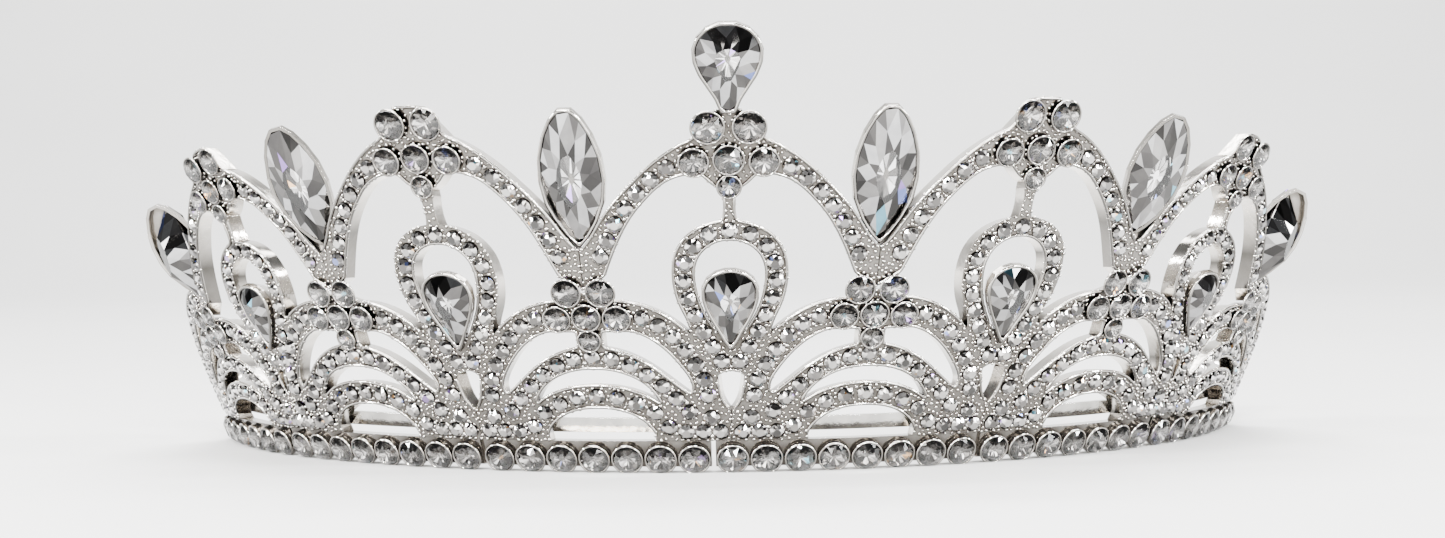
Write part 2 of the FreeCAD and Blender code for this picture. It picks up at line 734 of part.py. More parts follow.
for name, shape in (("drop_bezel", drop_cup), ("drop_stone", drop_stone)):
    add_part(name + "_centre", shape)
    add_part(name + "_right_1", shape, turned(PERIOD).multiply(shape.Placement))
    add_part(name + "_left_1", shape, turned(-PERIOD).multiply(shape.Placement))
for name, shape in (("drop_bezel_%s_2", drop_cup_end), ("drop_stone_%s_2", drop_stone_end),
                    ("marquise_bezel_%s_2", marq_cup_side), ("marquise_stone_%s_2", marq_stone_side),
                    ("marquise_bezel_%s_3", marq_cup_end), ("marquise_stone_%s_3", marq_stone_end)):
    add_part(name % "right", shape)
    add_part(name % "left", flipped(shape))
for name, shape in (("marquise_bezel_%s_1", marq_cup), ("marquise_stone_%s_1", marq_stone)):
    shape = carried(shape, HALF)
    add_part(name % "right", shape)
    add_part(name % "left", flipped(shape))
add_part("top_drop_bezel", top_cup)
add_part("top_drop_stone", top_stone)

# Fixing eyelets on the two ends of the inner band, from bound primitives.
band_mid = (size("band_bottom") + size("band_top")) / 2
TAB_LENGTH = size("eyelet_reach") + size("eyelet_outer") / 2
for side, sign in SIDES:
    s_eye = sign * (size("band_half_length") + TAB_LENGTH)
    frame = lifted(skin_frame(s_eye, band_mid), -DEPTH - size("band_depth"))
    print("eyelet", side, frame)
    eye = doc.addObject("Part::Cylinder", "eye_" + side)
    eye.setExpression("Radius", "dims.eyelet_outer")
    eye.setExpression("Height", "dims.eyelet_depth")
    eye.Placement = frame
    tab = doc.addObject("Part::Box", "tab_" + side)
    tab.setExpression("Length", "dims.eyelet_reach + dims.eyelet_outer / 2 + 1")
    tab.setExpression("Width", "dims.eyelet_neck")
    tab.setExpression("Height", "dims.eyelet_depth")
    start = -TAB_LENGTH - 1.0 if sign > 0 else 0.0
    tab.Placement = frame.multiply(Placement(Vector(start, -size("eyelet_neck") / 2, 0), Rotation()))
    bore = doc.addObject("Part::Cylinder", "bore_" + side)
    bore.setExpression("Radius", "dims.eyelet_bore")
    bore.setExpression("Height", "dims.eyelet_depth * 3")
    bore.Placement = frame.multiply(Placement(Vector(0, 0, -size("eyelet_depth")), Rotation()))
    blank = doc.addObject("Part::Fuse", "blank_" + side)
    blank.Base = eye
    blank.Tool = tab
    pierced = doc.addObject("Part::Cut", "pierced_" + side)
    pierced.Base = blank
    pierced.Tool = bore
    eyelet = doc.addObject("Part::Cut", "eyelet_" + side)
    eyelet.Label = "eyelet_" + side
    eyelet.Base = pierced
    eyelet.Tool = features["inner_band"]
    features["eyelet_" + side] = eyelet

doc.recompute()
for item in doc.Objects:
    if "Invalid" in item.State or "Error" in item.State:
        raise RuntimeError("object failed: " + item.Label)
os.makedirs("parts", exist_ok=True)
for label, item in features.items():
    if item.Shape.isNull() or not item.Shape.isValid():
        raise RuntimeError("bad shape: " + label)
    item.Shape.exportStep("parts/%s.step" % label)
print("nodes:", len(features))
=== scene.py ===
import bisect
import itertools
import math
import random

import bmesh
import bpy
from mathutils import Matrix, Vector
from mathutils.bvhtree import BVHTree
from mathutils.kdtree import KDTree


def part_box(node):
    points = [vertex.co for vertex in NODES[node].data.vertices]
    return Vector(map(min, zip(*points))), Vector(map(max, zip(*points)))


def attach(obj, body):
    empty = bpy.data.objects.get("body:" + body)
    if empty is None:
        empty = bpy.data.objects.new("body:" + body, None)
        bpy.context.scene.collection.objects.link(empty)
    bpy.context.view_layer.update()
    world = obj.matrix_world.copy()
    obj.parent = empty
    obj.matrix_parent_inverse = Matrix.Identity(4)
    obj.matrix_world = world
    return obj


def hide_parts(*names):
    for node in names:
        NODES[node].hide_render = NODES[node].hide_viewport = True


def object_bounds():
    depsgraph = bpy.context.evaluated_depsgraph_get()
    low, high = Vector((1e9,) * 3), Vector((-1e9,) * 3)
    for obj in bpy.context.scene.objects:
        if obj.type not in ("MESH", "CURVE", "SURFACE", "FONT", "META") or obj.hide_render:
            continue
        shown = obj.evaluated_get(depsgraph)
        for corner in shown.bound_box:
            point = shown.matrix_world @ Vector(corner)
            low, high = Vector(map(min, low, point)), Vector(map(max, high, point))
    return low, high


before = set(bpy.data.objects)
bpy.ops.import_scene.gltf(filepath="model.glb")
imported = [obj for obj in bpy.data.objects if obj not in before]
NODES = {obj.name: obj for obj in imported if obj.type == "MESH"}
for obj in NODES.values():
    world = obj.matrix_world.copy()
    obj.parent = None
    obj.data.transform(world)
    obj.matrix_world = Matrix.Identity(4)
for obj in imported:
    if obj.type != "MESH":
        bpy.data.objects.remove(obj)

# Bridal tiara: silver-plated castings with set crystals, in metres.
CAD_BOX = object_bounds()
MM = 0.001
RNG = random.Random(11)


# ---------------------------------------------------------------- materials

def new_material(name):
    material = bpy.data.materials.new(name)
    material.use_nodes = True
    tree = material.node_tree
    return material, tree, tree.nodes["Principled BSDF"]


def object_noise(tree, scale, detail=3.0):
    coords = tree.nodes.new("ShaderNodeTexCoord")
    noise = tree.nodes.new("ShaderNodeTexNoise")
    noise.inputs["Scale"].default_value = scale
    noise.inputs["Detail"].default_value = detail
    tree.links.new(coords.outputs["Object"], noise.inputs["Vector"])
    return noise


def ramp_between(tree, source, stops):
    ramp = tree.nodes.new("ShaderNodeValToRGB")
    elements = ramp.color_ramp.elements
    elements[0].position, elements[0].color = stops[0]
    elements[1].position, elements[1].color = stops[-1]
    for position, color in stops[1:-1]:
        elements.new(position).color = color
    tree.links.new(source, ramp.inputs["Fac"])
    return ramp


def map_range(tree, source, low, high):
    node = tree.nodes.new("ShaderNodeMapRange")
    node.inputs["To Min"].default_value = low
    node.inputs["To Max"].default_value = high
    tree.links.new(source, node.inputs["Value"])
    return node


def multiply_colours(tree, first, second):
    mix = tree.nodes.new("ShaderNodeMix")
    mix.data_type = "RGBA"
    mix.blend_type = "MULTIPLY"
    mix.inputs["Factor"].default_value = 1.0
    tree.links.new(first, mix.inputs[6])
    tree.links.new(second, mix.inputs[7])
    return mix.outputs[2]


def painted_shade_by_lean(tree, stops):
    """Painted shade by which way a surface faces; each stop is (z of its normal, grey tone)."""
    geometry = tree.nodes.new("ShaderNodeNewGeometry")
    split = tree.nodes.new("ShaderNodeSeparateXYZ")
    tree.links.new(geometry.outputs["Normal"], split.inputs["Vector"])
    height = tree.nodes.new("ShaderNodeMapRange")
    height.inputs["From Min"].default_value = -1.0
    tree.links.new(split.outputs["Z"], height.inputs["Value"])
    grey = [((z + 1) / 2, (tone, tone * 0.97, tone * 0.93, 1)) for z, tone in stops]
    return ramp_between(tree, height.outputs["Result"], grey).outputs["Color"]


# Painted shade in hollows: ambient occlusion within this reach darkens the colour along these stops.
HOLLOW_SHADE_REACH = 1.1 * MM
HOLLOW_SHADE = [(0.20, (0.22, 0.21, 0.20, 1)), (0.68, (0.46, 0.44, 0.42, 1)), (0.95, (1, 1, 1, 1))]
BUMP_DEPTH = 0.1 * MM


def plated_metal(name, bright, dark, rough_low, rough_high, round_edge, casting_shade, lean_shade=True):
    """Silver plate: cloudy tone, wear in the gloss and a fine bump.

    Casting plates get painted shade in hollows; lean shade is painted shade, dark on faces leaning
    forward.
    """
    material, tree, bsdf = new_material(name)
    bsdf.inputs["Metallic"].default_value = 1.0
    cloud = object_noise(tree, 420.0, 4.0)
    tint = ramp_between(tree, cloud.outputs["Fac"], [(0.35, dark), (0.62, bright)]).outputs["Color"]
    # Painted shade: darker in the hollows, from ambient occlusion.
    if casting_shade:
        hollow = tree.nodes.new("ShaderNodeAmbientOcclusion")
        hollow.samples = 8
        hollow.inputs["Distance"].default_value = HOLLOW_SHADE_REACH
        shade = ramp_between(tree, hollow.outputs["AO"], HOLLOW_SHADE)
        tint = multiply_colours(tree, tint, shade.outputs["Color"])
    # Painted shade by which way each face points: castings keep bright undersides and dimmer tops, others
    # dark undersides.
    if lean_shade:
        underside_shade = (1.0, 0.75) if casting_shade else (0.06, 0.09)
        top_shade = (0.62, 0.50) if casting_shade else (1.0, 1.0)
        painted_lean_shade = painted_shade_by_lean(tree, [(-1.0, underside_shade[0]), (-0.72, underside_shade[1]), (-0.46, 0.11), (-0.30, 0.26),
                                   (-0.05, 0.75), (0.15, 0.95), (0.40, top_shade[0]), (1.0, top_shade[1])])
        tint = multiply_colours(tree, tint, painted_lean_shade)
    tree.links.new(tint, bsdf.inputs["Base Color"])
    wear = object_noise(tree, 1500.0, 2.0)
    rough = map_range(tree, wear.outputs["Fac"], rough_low, rough_high)
    tree.links.new(rough.outputs["Result"], bsdf.inputs["Roughness"])
    grain = object_noise(tree, 1300.0, 3.0)
    bump = tree.nodes.new("ShaderNodeBump")
    bump.inputs["Strength"].default_value = 0.35
    bump.inputs["Distance"].default_value = BUMP_DEPTH
    tree.links.new(grain.outputs["Fac"], bump.inputs["Height"])
    if round_edge:
        bevel = tree.nodes.new("ShaderNodeBevel")
        bevel.samples = 4
        bevel.inputs["Radius"].default_value = round_edge
        tree.links.new(bevel.outputs["Normal"], bump.inputs["Normal"])
    tree.links.new(bump.outputs["Normal"], bsdf.inputs["Normal"])
    return material


def crystal_glass(name):
    """Clear cut glass; each facet has its own slight tone, painted light seen through it."""
    material, tree, bsdf = new_material(name)
    bsdf.inputs["Roughness"].default_value = 0.0
    bsdf.inputs["IOR"].default_value = 1.58
    bsdf.inputs["Transmission Weight"].default_value = 1.0
    facet = tree.nodes.new("ShaderNodeAttribute")
    facet.attribute_name = "facet"
    tree.links.new(facet.outputs["Color"], bsdf.inputs["Base Color"])
    return material


def mirror_facets(name, coat, rough_low, rough_high, lean_shade=True, tone=1.0):
    """Foil-backed crystal seen as mirror facets, each tinted by a painted reflection; tone dims them all.
    """
    material, tree, bsdf = new_material(name)
    bsdf.inputs["Metallic"].default_value = 1.0
    bsdf.inputs["Coat Weight"].default_value = coat
    bsdf.inputs["Coat Roughness"].default_value = 0.0
    facet = tree.nodes.new("ShaderNodeAttribute")
    facet.attribute_name = "facet"
    cloud = object_noise(tree, 700.0, 2.0)
    dim = 0.8 * tone
    stops = [(0.3, (dim, dim, dim * 1.03, 1)), (0.7, (tone, tone, tone, 1))]
    tint = ramp_between(tree, cloud.outputs["Fac"], stops)
    colour = multiply_colours(tree, facet.outputs["Color"], tint.outputs["Color"])
    # Painted shade on facets that face down.
    if lean_shade:
        painted_lean_shade = painted_shade_by_lean(tree, [(-1.0, 0.06), (-0.70, 0.12), (-0.46, 0.26), (-0.25, 0.70), (0.1, 1.0)])
        colour = multiply_colours(tree, colour, painted_lean_shade)
    tree.links.new(colour, bsdf.inputs["Base Color"])
    rough = map_range(tree, cloud.outputs["Fac"], rough_low, rough_high)
    tree.links.new(rough.outputs["Result"], bsdf.inputs["Roughness"])
    return material


# Painted shade: castings in their hollows and by lean, beads on their undersides; the band has none.
SILVER = plated_metal("silver_plate", (0.95, 0.93, 0.90, 1), (0.80, 0.78, 0.74, 1),
                      0.08, 0.24, 0.12 * MM, True)
BEAD_SILVER = plated_metal("silver_beads", (0.97, 0.96, 0.94, 1), (0.86, 0.84, 0.81, 1),
                           0.05, 0.16, 0.0, False)
WIRE_SILVER = plated_metal("band_plate", (0.66, 0.65, 0.62, 1), (0.48, 0.47, 0.45, 1),
                           0.10, 0.22, 0.1 * MM, False, False)
# Crystal facets carry painted reflections and fire; FOIL and SPARK also get painted shade on facets facing
# down.
GLASS = crystal_glass("crystal_glass")
FOIL = mirror_facets("crystal_foil", 0.0, 0.0, 0.03)
DEEP_FOIL = mirror_facets("deep_crystal_foil", 0.0, 0.0, 0.03, False)
RIM = mirror_facets("crystal_rim", 0.25, 0.0, 0.04, False, 0.36)
SPARK = mirror_facets("crystal_brilliant", 1.0, 0.03, 0.10)


# ---------------------------------------------------------------- reading CAD nodes

WELD = 1e-7


def islands(node):
    """Points and (normal, area) of each face, for every separate solid in a CAD node."""
    mesh = NODES[node].data
    bm = bmesh.new()
    bm.from_mesh(mesh)
    bmesh.ops.remove_doubles(bm, verts=bm.verts, dist=WELD)
    bm.verts.ensure_lookup_table()
    seen = set()
    found = []
    for start in bm.verts:
        if start.index in seen:
            continue
        group = []
        stack = [start]
        seen.add(start.index)
        while stack:
            vert = stack.pop()
            group.append(vert)
            for edge in vert.link_edges:
                other = edge.other_vert(vert)
                if other.index not in seen:
                    seen.add(other.index)
                    stack.append(other)
        faces = dict.fromkeys(face for vert in group for face in vert.link_faces)
        found.append(([v.co.copy() for v in group], [(f.normal.copy(), f.calc_area()) for f in faces]))
    bm.free()
    return found


MIDDLE = Vector(((CAD_BOX[0][0] + CAD_BOX[1][0]) / 2, (CAD_BOX[0][1] + CAD_BOX[1][1]) / 2, CAD_BOX[0][2]))


def away_from_head(point):
    return Vector((point.x - MIDDLE.x, point.y - MIDDLE.y, 0)).normalized()


def table_frame(solid):
    """Side, up and outward axes of a set stone, from its largest flat that faces away from the head."""
    points, faces = solid
    away = away_from_head(sum(points, Vector()) / len(points))
    bins = {}
    for normal, area in faces:
        if normal.dot(away) < 0.5:
            continue
        key = (round(normal.x, 2), round(normal.y, 2), round(normal.z, 2))
        total, summed = bins.get(key, (0.0, Vector()))
        bins[key] = (total + area, summed + normal * area)
    axis = max(bins.values(), key=lambda item: item[0])[1].normalized()
    up = (Vector((0, 0, 1)) - axis * axis.z).normalized()
    return up.cross(axis).normalized(), up, axis


def stone_place(solid):
    """Centre of the back, axes, radius and height of a round stone."""
    points, _ = solid
    side, up, axis = table_frame(solid)
    lows = [p.dot(axis) for p in points]
    across = [p.dot(side) for p in points]
    upward = [p.dot(up) for p in points]
    radius = (max(across) - min(across)) / 2
    origin = side * (max(across) + min(across)) / 2 + up * (max(upward) + min(upward)) / 2
    return origin + axis * min(lows), side, up, axis, radius, max(lows) - min(lows)


def matrix_of(origin, side, up, axis):
    return Matrix(((side.x, up.x, axis.x, origin.x),
                   (side.y, up.y, axis.y, origin.y),
                   (side.z, up.z, axis.z, origin.z),
                   (0, 0, 0, 1)))


# ---------------------------------------------------------------- faceted stones

# Painted fire: coloured facets standing in for the flashes of coloured light in cut crystal.
PAINTED_FIRE_COLOURS = [(0.35, 0.45, 1.0), (0.62, 0.40, 1.0), (1.0, 0.62, 0.30), (0.35, 0.80, 1.0)]


def painted_facet_light(fire, dark, middle=0.30):
    """Painted light on one facet: a share of coloured fire, dark and middle ones, the rest clear."""
    draw = RNG.random()
    if draw < fire:
        return RNG.choice(PAINTED_FIRE_COLOURS)
    if draw < fire + dark:
        shade = RNG.uniform(0.03, 0.20)
        return (shade, shade * 0.96, shade * 0.93)
    if draw < fire + dark + middle:
        shade = RNG.uniform(0.40, 0.70)
        return (shade, shade * 0.98, shade * 0.96)
    shade = RNG.uniform(0.88, 1.0)
    return (shade, shade, shade)


MID_HEIGHT = 0.55
CULET = 0.10
# Back rings: size of the first, its share of the depth, size of the second.
PLAIN_BACK = (0.62, 0.45, 0.12)
CRUSHED_BACK = (0.80, 0.15, 0.45)


class Gems:
    """Collects many faceted stones in one mesh."""

    def __init__(self, name, crown_material, crown_tone, back_tone, back_material=None, rim_material=None):
        self.name = name
        self.materials = [crown_material, back_material or FOIL, rim_material or crown_material]
        self.crown_tone = crown_tone
        self.back_tone = back_tone
        self.verts = []
        self.faces = []
        self.slots = []
        self.painted_facet_tones = []

    def add(self, place, outline, focus, mains, heights, table, mid, wobble=0.0):
        """outline(t) is the girdle point at a fraction t of the way round; heights run up from the back.

        A wobble gives the back another ring of facets, each tipped its own way.
        """
        low, girdle_low, girdle_high, top = heights
        fx, fy = focus

        def ring(count, scale, height, half, uneven=0.0):
            start = len(self.verts)
            for i in range(count):
                x, y = outline((i + (0.5 if half else 0.0)) / count)
                z = height + RNG.uniform(0, uneven) if uneven else height
                self.verts.append(place @ Vector((fx + (x - fx) * scale, fy + (y - fy) * scale, z)))
            return start

        tables = ring(mains, table, top, False)
        mids = ring(mains, mid, girdle_high + (top - girdle_high) * MID_HEIGHT, True)
        girdles = ring(mains * 2, 1.0, girdle_high, False)
        lowers = ring(mains * 2, 1.0, girdle_low, False)
        first, share, second = CRUSHED_BACK if wobble else PLAIN_BACK
        backs = ring(mains, first, low + (girdle_low - low) * share, True, wobble)
        culets = ring(mains, second, low, False, wobble)
        points = ring(mains, CULET, low, True) if wobble else culets
        self.face(list(range(tables, tables + mains)), 0)
        self.painted_facet_tones[-1] = (1.0, 1.0, 1.0) if self.materials[0] is GLASS else self.painted_facet_tones[-1]
        for i in range(mains):
            j = (i + 1) % mains
            before = (i - 1) % mains
            g0 = girdles + 2 * i
            g1 = girdles + 2 * i + 1
            g2 = girdles + (2 * i + 2) % (2 * mains)
            self.face([tables + i, mids + i, tables + j], 2)
            self.face([tables + i, mids + before, g0, mids + i], 2)
            self.face([mids + i, g0, g1], 2)
            self.face([mids + i, g1, g2], 2)
            l0, l1, l2 = (g - girdles + lowers for g in (g0, g1, g2))
            self.face([g0, l0, l1, g1], 2)
            self.face([g1, l1, l2, g2], 2)
            self.face([l0, backs + i, l1], 1)
            self.face([l1, backs + i, l2], 1)
            self.face([l0, backs + before, culets + i, backs + i], 1)
            self.face([culets + i, culets + j, backs + i], 1)
            if wobble:
                self.face([culets + i, culets + j, points + i], 1)
                self.face([points + before, points + i, culets + i], 1)
        self.face(list(range(points + mains - 1, points - 1, -1)), 1)

    def face(self, indices, slot):
        self.faces.append(indices)
        self.slots.append(slot)
        # Each facet's colour is painted light: reflections and fire.
        self.painted_facet_tones.append(painted_facet_light(*(self.back_tone if slot == 1 else self.crown_tone)))

    def build(self, replaced):
        mesh = bpy.data.meshes.new(self.name)
        mesh.from_pydata([tuple(v) for v in self.verts], [], self.faces)
        for material in self.materials:
            mesh.materials.append(material)
        # The facet colours are painted reflections and fire.
        colours = mesh.color_attributes.new("facet", "FLOAT_COLOR", "CORNER")
        for polygon, slot, tint in zip(mesh.polygons, self.slots, self.painted_facet_tones):
            polygon.material_index = slot
            for corner in polygon.loop_indices:
                colours.data[corner].color = (*tint, 1.0)
        bm = bmesh.new()
        bm.from_mesh(mesh)
        bmesh.ops.recalc_face_normals(bm, faces=bm.faces)
        bm.to_mesh(mesh)
        bm.free()
        piece = bpy.data.objects.new(self.name, mesh)
        bpy.context.scene.collection.objects.link(piece)
        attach(piece, "root")
        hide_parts(*replaced)
        return piece


def circle_outline(radius):
    return lambda t: (radius * math.cos(2 * math.pi * t), radius * math.sin(2 * math.pi * t))


ROUND_TILT = 0.06
ROUND_MAINS = 8
ROUND_TABLE = 0.50
ROUND_MID = 0.77
ROUND_GIRDLE = 0.06
ROUND_NODES = ["hill_pave_stones", "loop_pave_stones", "crest_pave_stones", "scroll_pave_stones",
               "hill_clover_stones", "crest_clover_stones", "base_stones"]
PLACES = {}
for node in ROUND_NODES:
    PLACES[node] = [stone_place(solid) for solid in islands(node)]
    small = "pave" in node
    # Crown and back tones are shares of painted fire and dark facets.
    gems = Gems(node.replace("_stones", "_crystals"), SPARK if small else GLASS,
                (0.02, 0.28) if small else (0.0, 0.0), (0.05, 0.22))
    swell = 1.05 if small else 1.03
    raise_by = 0.16 * MM if small else 0.10 * MM
    for origin, side, up, axis, radius, height in PLACES[node]:
        tilt = Matrix.Rotation(RNG.uniform(-ROUND_TILT, ROUND_TILT), 4, "X")
        tilt = tilt @ Matrix.Rotation(RNG.uniform(-ROUND_TILT, ROUND_TILT), 4, "Y")
        spin = Matrix.Rotation(RNG.uniform(0, math.pi / 4), 4, "Z")
        girdle = height / 2 + raise_by
        place = matrix_of(origin, side, up, axis) @ tilt @ spin
        heights = (raise_by, girdle - ROUND_GIRDLE * radius, girdle, height + raise_by)
        gems.add(place, circle_outline(radius * swell), (0.0, 0.0), ROUND_MAINS, heights,
                 ROUND_TABLE, ROUND_MID)
    gems.build([node])


def hull_of(points):
    """Convex outline of flat points, anticlockwise."""
    ordered = sorted(set(points))

    def half(sequence):
        chain = []
        for p in sequence:
            while len(chain) > 1:
                (x0, y0), (x1, y1) = chain[-2], chain[-1]
                if (x1 - x0) * (p[1] - y0) - (y1 - y0) * (p[0] - x0) > 1e-14:
                    break
                chain.pop()
            chain.append(p)
        return chain

    return half(ordered)[:-1] + half(ordered[::-1])[:-1]


def outline_along(corners):
    """Point at a fraction of the way round a closed outline, from its highest corner."""
    start = max(range(len(corners)), key=lambda i: corners[i][1])
    corners = corners[start:] + corners[:start]
    corners.append(corners[0])
    lengths = [0.0]
    for (x0, y0), (x1, y1) in zip(corners, corners[1:]):
        lengths.append(lengths[-1] + math.hypot(x1 - x0, y1 - y0))

    def outline(t):
        want = (t % 1.0) * lengths[-1]
        k = 0
        while k < len(lengths) - 2 and lengths[k + 1] < want:
            k += 1
        f = (want - lengths[k]) / (lengths[k + 1] - lengths[k])
        (x0, y0), (x1, y1) = corners[k], corners[k + 1]
        return x0 + (x1 - x0) * f, y0 + (y1 - y0) * f

    return outline


FANCY_GIRDLE = 0.42
FANCY_GIRDLE_WIDTH = 0.12 * MM
FANCY_WOBBLE = 0.08
FANCY_MID = 0.70
# Shares of painted fire, dark and middle facets, as painted reflections in the rim and the back.
RIM_TONE = (0.03, 0.48, 0.27)
DEEP_TONE = (0.04, 0.50, 0.25)


def fancy(node, mains, table, focus_up):
    """Large pear or marquise crystal cut inside the outline of its CAD solid."""
    solid = islands(node)[0]
    points, _ = solid
    side, up, axis = table_frame(solid)
    bottom = min(p.dot(axis) for p in points)
    height = max(p.dot(axis) for p in points) - bottom
    flat = [(p.dot(side), p.dot(up)) for p in points]
    mx = (max(x for x, _ in flat) + min(x for x, _ in flat)) / 2
    my = (max(y for _, y in flat) + min(y for _, y in flat)) / 2
    half = (max(y for _, y in flat) - min(y for _, y in flat)) / 2
    corners = hull_of([(round(x - mx, 7), round(y - my, 7)) for x, y in flat])
    gems = Gems(node.replace("_stone", "_crystal"), GLASS, RIM_TONE, DEEP_TONE, DEEP_FOIL, RIM)
    place = matrix_of(side * mx + up * my + axis * bottom, side, up, axis)
    girdle = height * FANCY_GIRDLE
    gems.add(place, outline_along(corners), (0.0, half * focus_up), mains,
             (0.0, girdle - FANCY_GIRDLE_WIDTH, girdle, height), table, FANCY_MID, height * FANCY_WOBBLE)
    return gems.build([node])


for node in sorted(NODES):
    if node.startswith("drop_stone"):
        fancy(node, 10, 0.40, 0.22)
    elif node.startswith("marquise_stone"):
        fancy(node, 12, 0.42, 0.0)
    elif node == "top_drop_stone":
        fancy(node, 12, 0.40, 0.22)


# ---------------------------------------------------------------- beads, lips and rails

def metal_piece(name, mesh):
    mesh.materials.append(BEAD_SILVER)
    for polygon in mesh.polygons:
        polygon.use_smooth = True
    for vert in mesh.vertices:
        vert.co.z = max(vert.co.z, CAD_BOX[0][2])
    piece = bpy.data.objects.new(name, mesh)
    bpy.context.scene.collection.objects.link(piece)
    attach(piece, "root")
    return piece


GRAIN_GAP = 0.50 * MM
GRAIN_MARGIN = 0.10 * MM
GRAIN_TRIES = 5
BEAD_GAP = 0.42 * MM
BEAD_FLATNESS = 0.9
BEAD_SPREAD = 0.62
BEAD_LEVEL = 0.50
BEAD_RADII = (0.24 * MM, 0.31 * MM)
GRAIN_LIFT = 0.02 * MM
GRAIN_RADII = (0.17 * MM, 0.24 * MM)
FACING = 0.6
LEAN = (-0.55, -0.15)


def bead_pattern():
    bm = bmesh.new()
    bmesh.ops.create_icosphere(bm, subdivisions=2, radius=1.0)
    verts = [v.co.copy() for v in bm.verts]
    faces = [[v.index for v in f.verts] for f in bm.faces]
    bm.free()
    return verts, faces


BEAD_VERTS, BEAD_FACES = bead_pattern()


def bead_piece(name, beads):
    """Small burnished grains, each a slightly flattened dome sunk into the casting."""
    verts = []
    faces = []
    for centre, axis, radius in beads:
        base = len(verts)
        place = (Matrix.Translation(centre) @ axis.to_track_quat("Z", "Y").to_matrix().to_4x4()
                 @ Matrix.Diagonal((radius, radius, radius * BEAD_FLATNESS, 1)))
        verts += [place @ v for v in BEAD_VERTS]
        faces += [[base + i for i in face] for face in BEAD_FACES]
    mesh = bpy.data.meshes.new(name)
    mesh.from_pydata([tuple(v) for v in verts], [], faces)
    return metal_piece(name, mesh)


def beads_between(name, node, reach):
    """Grains in the gaps beside each pair of neighbouring stones."""
    places = PLACES[node]
    tree = KDTree(len(places))
    for i, place in enumerate(places):
        tree.insert(place[0], i)
    tree.balance()
    spots = []
    for i, (origin, _, _, axis, radius, height) in enumerate(places):
        for _, j, _ in tree.find_range(origin, 2 * radius * reach):
            if j <= i:
                continue
            other = places[j]
            line = (other[0] - origin).normalized()
            across = line.cross(axis).normalized()
            middle = (origin + other[0]) / 2
            for sign in (-1, 1):
                spot = middle + across * sign * radius * BEAD_SPREAD
                near = tree.find_n(spot, 3)
                if any(d < places[k][4] * 0.99 for _, k, d in near if k not in (i, j)):
                    continue
                if any((spot - s).length < BEAD_GAP for s, _, _ in spots):
                    continue
                spots.append((spot, axis, height))
    return bead_piece(name, [(spot + axis * height * BEAD_LEVEL, axis, RNG.uniform(*BEAD_RADII))
                             for spot, axis, height in spots])


def is_front(face):
    """True for the leaning outer face of a casting."""
    away = away_from_head(face.calc_center_median())
    return face.normal.dot(away) > FACING and LEAN[0] < face.normal.z < LEAN[1]


def grain_field(name, node, stones):
    """Small grains raised all over the metal that the stones leave bare."""
    bm = bmesh.new()
    bm.from_mesh(NODES[node].data)
    bmesh.ops.triangulate(bm, faces=bm.faces)
    triangles = []
    for face in bm.faces:
        if is_front(face):
            triangles.append(([v.co.copy() for v in face.verts], face.normal.copy(), face.calc_area()))
    bm.free()
    total = sum(t[2] for t in triangles)
    heap = KDTree(len(stones))
    for i, place in enumerate(stones):
        heap.insert(place[0], i)
    heap.balance()
    grid = {}
    spots = []
    edges = []
    running = 0.0
    for triangle in triangles:
        running += triangle[2]
        edges.append(running)
    for _ in range(int(total / (GRAIN_GAP ** 2) * GRAIN_TRIES)):
        (a, b, c), normal, _ = triangles[bisect.bisect_left(edges, RNG.random() * total)]
        u, v = RNG.random(), RNG.random()
        if u + v > 1:
            u, v = 1 - u, 1 - v
        spot = a + (b - a) * u + (c - a) * v
        clear = True
        for centre, k, _ in heap.find_n(spot, 3):
            place = stones[k]
            away = spot - centre
            away -= place[3] * away.dot(place[3])
            if away.length < place[4] + GRAIN_MARGIN:
                clear = False
        key = tuple(int(math.floor(q / GRAIN_GAP)) for q in spot)
        for step in itertools.product((-1, 0, 1), repeat=3):
            for other in grid.get(tuple(k + d for k, d in zip(key, step)), ()):
                if (other - spot).length < GRAIN_GAP:
                    clear = False
        if clear:
            grid.setdefault(key, []).append(spot)
            spots.append((spot, normal))
    return bead_piece(name, [(spot + normal * GRAIN_LIFT, normal, RNG.uniform(*GRAIN_RADII))
                             for spot, normal in spots])


LIP_REACH = 1.09
LIP_LEVEL = 0.5


def lips(name, node, half):
    """Rolled collet lips round the larger stones."""
    verts = []
    faces = []
    turns = 32
    section = 8
    for origin, side, up, axis, radius, height in PLACES[node]:
        place = matrix_of(origin + axis * height * LIP_LEVEL, side, up, axis)
        base = len(verts)
        for i in range(turns):
            angle = 2 * math.pi * i / turns
            for k in range(section):
                phi = 2 * math.pi * k / section
                reach = radius * LIP_REACH + half * math.cos(phi)
                verts.append(place @ Vector((reach * math.cos(angle), reach * math.sin(angle),
                                             half * math.sin(phi))))
        for i in range(turns):
            n = (i + 1) % turns
            for k in range(section):
                m = (k + 1) % section
                faces.append([base + i * section + k, base + n * section + k, base + n * section + m,
                              base + i * section + m])
    mesh = bpy.data.meshes.new(name)
    mesh.from_pydata([tuple(v) for v in verts], [], faces)
    return metal_piece(name, mesh)


